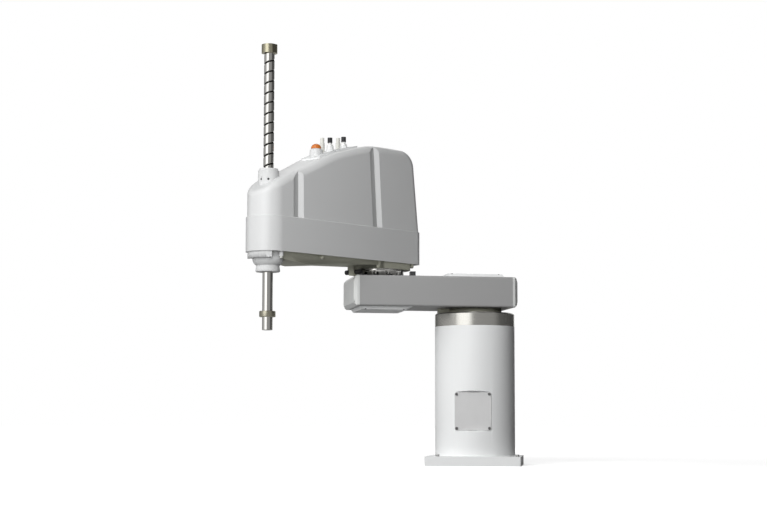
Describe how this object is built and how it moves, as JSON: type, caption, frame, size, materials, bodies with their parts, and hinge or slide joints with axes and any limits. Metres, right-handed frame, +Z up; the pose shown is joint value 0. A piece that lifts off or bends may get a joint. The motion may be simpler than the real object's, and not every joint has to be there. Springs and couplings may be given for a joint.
{
  "type": "scara robot",
  "caption": "Four-axis horizontal-arm robot: round column on a square mounting plate, box-section first arm, covered second arm and a hollow ball-screw spline shaft.",
  "frame": {"origin": "on the first joint's axis at the bottom face of the mounting plate", "axes": "+Z up along the first joint's axis; -Y towards the column's access plate; +X to the right seen from there"},
  "size_m": [0.6427, 0.5695, 1.012],
  "materials": {
    "column_paint": "gloss",
    "arm_paint": "satin",
    "skirt_paint": "satin",
    "cover_shell": "gloss",
    "raw_casting": "as cast",
    "machined_steel": "turned",
    "shaft_steel": "polished",
    "ring_steel": "turned",
    "cap_steel": "gold passivated",
    "screw_steel": "zinc plated",
    "black_screw": "black oxide",
    "motor_black": "satin",
    "stop_black": "satin",
    "rubber_black": "matte",
    "bracket_alloy": "milled",
    "panel_paint": "satin",
    "pad_plastic": "fine grain",
    "lamp_white": "gloss",
    "lamp_amber": "ribbed lens",
    "fitting_black": "satin",
    "fitting_clear": "gloss",
    "button_white": "gloss",
    "socket_metal": "satin anodised"
  },
  "bodies": {
    "base": {"base_casting": "column_paint", "access_plate": "panel_paint", "plate_screws": "screw_steel", "connector_panel": "panel_paint", "round_connectors": "socket_metal", "user_connector": "socket_metal", "base_air_fittings": "fitting_black", "ground_screws": "screw_steel", "j1_motor": "motor_black", "j1_ring": "ring_steel", "j1_ring_bolts": "black_screw", "j1_bearing_outer": "machined_steel", "j1_circular_spline": "machined_steel", "j1_stop_block": "stop_black"},
    "j1_rotor": {"j1_wave_generator": "machined_steel"},
    "arm1": {"arm1_casting": "arm_paint", "arm1_front_plate": "arm_paint", "arm1_rear_plate": "arm_paint", "arm1_end_screws": "black_screw", "arm1_top_hatch": "arm_paint", "arm1_bottom_hatch": "arm_paint", "arm1_hatch_screws": "black_screw", "j1_output_flange": "machined_steel", "j1_flexspline": "machined_steel", "j2_reducer_ring": "machined_steel", "j2_ring_screws": "black_screw", "j2_stop_block": "stop_black"},
    "arm2": {"arm2_casting": "raw_casting", "arm2_skirt": "skirt_paint", "arm2_skirt_screws": "screw_steel", "arm2_cover": "cover_shell", "j2_output_flange": "machined_steel", "j2_flexspline": "machined_steel", "j2_stop_bumpers": "rubber_black", "j2_motor": "motor_black", "drive_bracket": "bracket_alloy", "j3_motor": "motor_black", "j4_motor": "motor_black", "j3_belt": "rubber_black", "j4_belt": "rubber_black", "nut_bearings": "machined_steel", "lower_housing": "bracket_alloy", "upper_collar": "bracket_alloy", "collar_screws": "black_screw", "button_guide": "button_white", "fitting_pad": "pad_plastic", "lamp_base": "lamp_white", "lamp_dome": "lamp_amber", "elbow_fittings": "fitting_black", "straight_fittings": "fitting_clear"},
    "j2_rotor": {"j2_wave_generator": "machined_steel"},
    "j3_rotor": {"j3_motor_pulley": "bracket_alloy"},
    "j4_rotor": {"j4_motor_pulley": "bracket_alloy"},
    "spline_nut": {"spline_nut": "machined_steel"},
    "ball_nut": {"ball_nut": "machined_steel"},
    "shaft": {"shaft": "shaft_steel", "top_cap": "cap_steel", "lower_stop": "screw_steel"},
    "button": {"brake_button": "fitting_clear"}
  },
  "joints": [
    {"name": "j1", "type": "hinge", "parent": "base", "child": "arm1", "pos_m": [0, 0, 0.386], "axis": [0, 0, 1], "range_deg": [-78, 226]},
    {"name": "j1_motor_turn", "type": "hinge", "parent": "base", "child": "j1_rotor", "pos_m": [0, 0, 0.336], "axis": [0, 0, 1], "range_deg": [-11302, 3902]},
    {"name": "j2", "type": "hinge", "parent": "arm1", "child": "arm2", "pos_m": [-0.24032, -0.06891, 0.476], "axis": [0, 0, 1], "range_deg": [-191.5, 113.5]},
    {"name": "j2_motor_turn", "type": "hinge", "parent": "arm2", "child": "j2_rotor", "pos_m": [-0.24032, -0.06891, 0.524], "axis": [0, 0, 1], "range_deg": [-5790.5, 9768.5]},
    {"name": "j4", "type": "hinge", "parent": "arm2", "child": "spline_nut", "pos_m": [-0.46975, -0.39657, 0.5], "axis": [0, 0, 1], "range_deg": [-360, 360]},
    {"name": "j4_motor_turn", "type": "hinge", "parent": "arm2", "child": "j4_rotor", "pos_m": [-0.347, -0.22127, 0.6], "axis": [0, 0, 1], "range_deg": [-927.71, 927.71]},
    {"name": "j3", "type": "slide", "parent": "spline_nut", "child": "shaft", "axis": [0, 0, 1], "range_m": [-0.28, 0.092]},
    {"name": "ball_nut_turn", "type": "hinge", "parent": "spline_nut", "child": "ball_nut", "pos_m": [-0.46975, -0.39657, 0.6], "axis": [0, 0, 1], "range_deg": [-1326.8, 4034]},
    {"name": "j3_motor_turn", "type": "hinge", "parent": "arm2", "child": "j3_rotor", "pos_m": [-0.39633, -0.29172, 0.6], "axis": [0, 0, 1], "range_deg": [-3219.37, 9794]},
    {"name": "brake_button_press", "type": "slide", "parent": "arm2", "child": "button", "axis": [0, 0, 1], "range_m": [0, 0.003], "stiffness_N_per_m": 400, "springref_m": -0.003}
  ],
  "couplings": [
    {"joint": "j1_motor_turn", "follows": "j1", "ratio": -50},
    {"joint": "j2_motor_turn", "follows": "j2", "ratio": -51},
    {"joint": "j4_motor_turn", "follows": "j4", "ratio": 2.5714},
    {"joint": "ball_nut_turn", "follows": "j3", "rad_per_m": -251.33},
    {"joint": "j3_motor_turn", "follows": "j3", "rad_per_m": -610.37}
  ]
}
